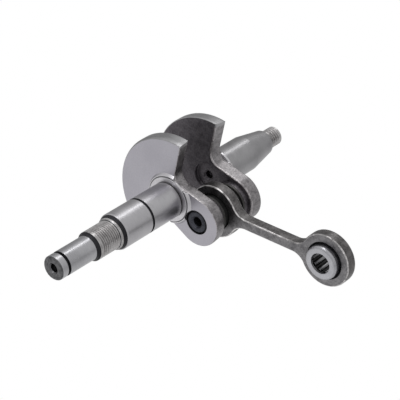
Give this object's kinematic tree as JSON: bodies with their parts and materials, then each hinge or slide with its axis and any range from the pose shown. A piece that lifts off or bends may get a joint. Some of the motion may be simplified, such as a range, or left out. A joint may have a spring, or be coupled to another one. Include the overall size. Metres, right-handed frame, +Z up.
{
  "type": "built-up crankshaft with connecting rod",
  "caption": "Built-up two-stroke crankshaft with counterweighted webs, tapered flywheel end, threaded clutch end and a connecting rod on needle rollers.",
  "frame": {"origin": "on the main shaft's axis, half way between the two webs", "axes": "+X along the main shaft towards the flywheel end, +Z up, the rod lies towards -Y"},
  "size_m": [0.134, 0.1031, 0.0464],
  "materials": {
    "web_steel": "forged sides, turned faces and ground journals",
    "pin_steel": "blued by heat treatment",
    "rod_steel": "dark, blasted",
    "cage_steel": "phosphated",
    "washer_steel": "phosphated",
    "bearing_steel": "drawn and polished",
    "roller_steel": "lapped"
  },
  "bodies": {
    "crank": {"clutch_side_half": "web_steel", "flywheel_side_half": "web_steel", "crank_pin": "pin_steel"},
    "rod": {"connecting_rod": "rod_steel", "small_end_cup": "bearing_steel"},
    "big_cage": {"big_end_cage": "cage_steel"},
    "clutch_side_washer": {"clutch_side_thrust_washer": "washer_steel"},
    "flywheel_side_washer": {"flywheel_side_thrust_washer": "washer_steel"},
    "small_cage": {"small_end_cage": "cage_steel"},
    "big_roller_1": {"big_end_roller_1": "roller_steel"},
    "big_roller_2": {"big_end_roller_2": "roller_steel"},
    "big_roller_3": {"big_end_roller_3": "roller_steel"},
    "big_roller_4": {"big_end_roller_4": "roller_steel"},
    "big_roller_5": {"big_end_roller_5": "roller_steel"},
    "big_roller_6": {"big_end_roller_6": "roller_steel"},
    "big_roller_7": {"big_end_roller_7": "roller_steel"},
    "big_roller_8": {"big_end_roller_8": "roller_steel"},
    "big_roller_9": {"big_end_roller_9": "roller_steel"},
    "big_roller_10": {"big_end_roller_10": "roller_steel"},
    "big_roller_11": {"big_end_roller_11": "roller_steel"},
    "small_roller_1": {"small_end_roller_1": "roller_steel"},
    "small_roller_2": {"small_end_roller_2": "roller_steel"},
    "small_roller_3": {"small_end_roller_3": "roller_steel"},
    "small_roller_4": {"small_end_roller_4": "roller_steel"},
    "small_roller_5": {"small_end_roller_5": "roller_steel"},
    "small_roller_6": {"small_end_roller_6": "roller_steel"},
    "small_roller_7": {"small_end_roller_7": "roller_steel"},
    "small_roller_8": {"small_end_roller_8": "roller_steel"},
    "small_roller_9": {"small_end_roller_9": "roller_steel"},
    "small_roller_10": {"small_end_roller_10": "roller_steel"}
  },
  "joints": [
    {"name": "rod_swing", "type": "hinge", "parent": "crank", "child": "rod", "pos_m": [0, -0.01346, -0.00591], "axis": [1, 0, 0], "continuous": true},
    {"name": "big_cage_turn", "type": "hinge", "parent": "crank", "child": "big_cage", "pos_m": [0, -0.01346, -0.00591], "axis": [1, 0, 0], "continuous": true},
    {"name": "clutch_side_washer_turn", "type": "hinge", "parent": "crank", "child": "clutch_side_washer", "pos_m": [0, -0.01346, -0.00591], "axis": [1, 0, 0], "continuous": true},
    {"name": "flywheel_side_washer_turn", "type": "hinge", "parent": "crank", "child": "flywheel_side_washer", "pos_m": [0, -0.01346, -0.00591], "axis": [1, 0, 0], "continuous": true},
    {"name": "small_cage_turn", "type": "hinge", "parent": "rod", "child": "small_cage", "pos_m": [-0.001, -0.06664, -0.0073], "axis": [1, 0, 0], "continuous": true},
    {"name": "big_roller_1_spin", "type": "hinge", "parent": "big_cage", "child": "big_roller_1", "pos_m": [0, -0.01975, -0.00607], "axis": [1, 0, 0], "continuous": true},
    {"name": "big_roller_2_spin", "type": "hinge", "parent": "big_cage", "child": "big_roller_2", "pos_m": [0, -0.01866, -0.00945], "axis": [1, 0, 0], "continuous": true},
    {"name": "big_roller_3_spin", "type": "hinge", "parent": "big_cage", "child": "big_roller_3", "pos_m": [0, -0.01592, -0.0117], "axis": [1, 0, 0], "continuous": true},
    {"name": "big_roller_4_spin", "type": "hinge", "parent": "big_cage", "child": "big_roller_4", "pos_m": [0, -0.0124, -0.01211], "axis": [1, 0, 0], "continuous": true},
    {"name": "big_roller_5_spin", "type": "hinge", "parent": "big_cage", "child": "big_roller_5", "pos_m": [0, -0.00922, -0.01055], "axis": [1, 0, 0], "continuous": true},
    {"name": "big_roller_6_spin", "type": "hinge", "parent": "big_cage", "child": "big_roller_6", "pos_m": [0, -0.00738, -0.00752], "axis": [1, 0, 0], "continuous": true},
    {"name": "big_roller_7_spin", "type": "hinge", "parent": "big_cage", "child": "big_roller_7", "pos_m": [0, -0.00747, -0.00398], "axis": [1, 0, 0], "continuous": true},
    {"name": "big_roller_8_spin", "type": "hinge", "parent": "big_cage", "child": "big_roller_8", "pos_m": [0, -0.00947, -0.00105], "axis": [1, 0, 0], "continuous": true},
    {"name": "big_roller_9_spin", "type": "hinge", "parent": "big_cage", "child": "big_roller_9", "pos_m": [0, -0.01273, 0.00034], "axis": [1, 0, 0], "continuous": true},
    {"name": "big_roller_10_spin", "type": "hinge", "parent": "big_cage", "child": "big_roller_10", "pos_m": [0, -0.01622, -0.00026], "axis": [1, 0, 0], "continuous": true},
    {"name": "big_roller_11_spin", "type": "hinge", "parent": "big_cage", "child": "big_roller_11", "pos_m": [0, -0.01884, -0.00265], "axis": [1, 0, 0], "continuous": true},
    {"name": "small_roller_1_spin", "type": "hinge", "parent": "small_cage", "child": "small_roller_1", "pos_m": [-0.001, -0.07169, -0.00743], "axis": [1, 0, 0], "continuous": true},
    {"name": "small_roller_2_spin", "type": "hinge", "parent": "small_cage", "child": "small_roller_2", "pos_m": [-0.001, -0.07065, -0.01038], "axis": [1, 0, 0], "continuous": true},
    {"name": "small_roller_3_spin", "type": "hinge", "parent": "small_cage", "child": "small_roller_3", "pos_m": [-0.001, -0.06808, -0.01214], "axis": [1, 0, 0], "continuous": true},
    {"name": "small_roller_4_spin", "type": "hinge", "parent": "small_cage", "child": "small_roller_4", "pos_m": [-0.001, -0.06496, -0.01206], "axis": [1, 0, 0], "continuous": true},
    {"name": "small_roller_5_spin", "type": "hinge", "parent": "small_cage", "child": "small_roller_5", "pos_m": [-0.001, -0.06248, -0.01016], "axis": [1, 0, 0], "continuous": true},
    {"name": "small_roller_6_spin", "type": "hinge", "parent": "small_cage", "child": "small_roller_6", "pos_m": [-0.001, -0.06159, -0.00717], "axis": [1, 0, 0], "continuous": true},
    {"name": "small_roller_7_spin", "type": "hinge", "parent": "small_cage", "child": "small_roller_7", "pos_m": [-0.001, -0.06264, -0.00423], "axis": [1, 0, 0], "continuous": true},
    {"name": "small_roller_8_spin", "type": "hinge", "parent": "small_cage", "child": "small_roller_8", "pos_m": [-0.001, -0.06521, -0.00246], "axis": [1, 0, 0], "continuous": true},
    {"name": "small_roller_9_spin", "type": "hinge", "parent": "small_cage", "child": "small_roller_9", "pos_m": [-0.001, -0.06833, -0.00254], "axis": [1, 0, 0], "continuous": true},
    {"name": "small_roller_10_spin", "type": "hinge", "parent": "small_cage", "child": "small_roller_10", "pos_m": [-0.001, -0.0708, -0.00444], "axis": [1, 0, 0], "continuous": true}
  ],
  "couplings": [
    {"joint": "big_cage_turn", "follows": "rod_swing", "ratio": 0.60254},
    {"joint": "big_roller_1_spin", "follows": "rod_swing", "ratio": 2.3354},
    {"joint": "big_roller_2_spin", "follows": "rod_swing", "ratio": 2.3354},
    {"joint": "big_roller_3_spin", "follows": "rod_swing", "ratio": 2.3354},
    {"joint": "big_roller_4_spin", "follows": "rod_swing", "ratio": 2.3354},
    {"joint": "big_roller_5_spin", "follows": "rod_swing", "ratio": 2.3354},
    {"joint": "big_roller_6_spin", "follows": "rod_swing", "ratio": 2.3354},
    {"joint": "big_roller_7_spin", "follows": "rod_swing", "ratio": 2.3354},
    {"joint": "big_roller_8_spin", "follows": "rod_swing", "ratio": 2.3354},
    {"joint": "big_roller_9_spin", "follows": "rod_swing", "ratio": 2.3354},
    {"joint": "big_roller_10_spin", "follows": "rod_swing", "ratio": 2.3354},
    {"joint": "big_roller_11_spin", "follows": "rod_swing", "ratio": 2.3354},
    {"joint": "small_roller_1_spin", "follows": "small_cage_turn", "ratio": -6.1},
    {"joint": "small_roller_2_spin", "follows": "small_cage_turn", "ratio": -6.1},
    {"joint": "small_roller_3_spin", "follows": "small_cage_turn", "ratio": -6.1},
    {"joint": "small_roller_4_spin", "follows": "small_cage_turn", "ratio": -6.1},
    {"joint": "small_roller_5_spin", "follows": "small_cage_turn", "ratio": -6.1},
    {"joint": "small_roller_6_spin", "follows": "small_cage_turn", "ratio": -6.1},
    {"joint": "small_roller_7_spin", "follows": "small_cage_turn", "ratio": -6.1},
    {"joint": "small_roller_8_spin", "follows": "small_cage_turn", "ratio": -6.1},
    {"joint": "small_roller_9_spin", "follows": "small_cage_turn", "ratio": -6.1},
    {"joint": "small_roller_10_spin", "follows": "small_cage_turn", "ratio": -6.1}
  ]
}
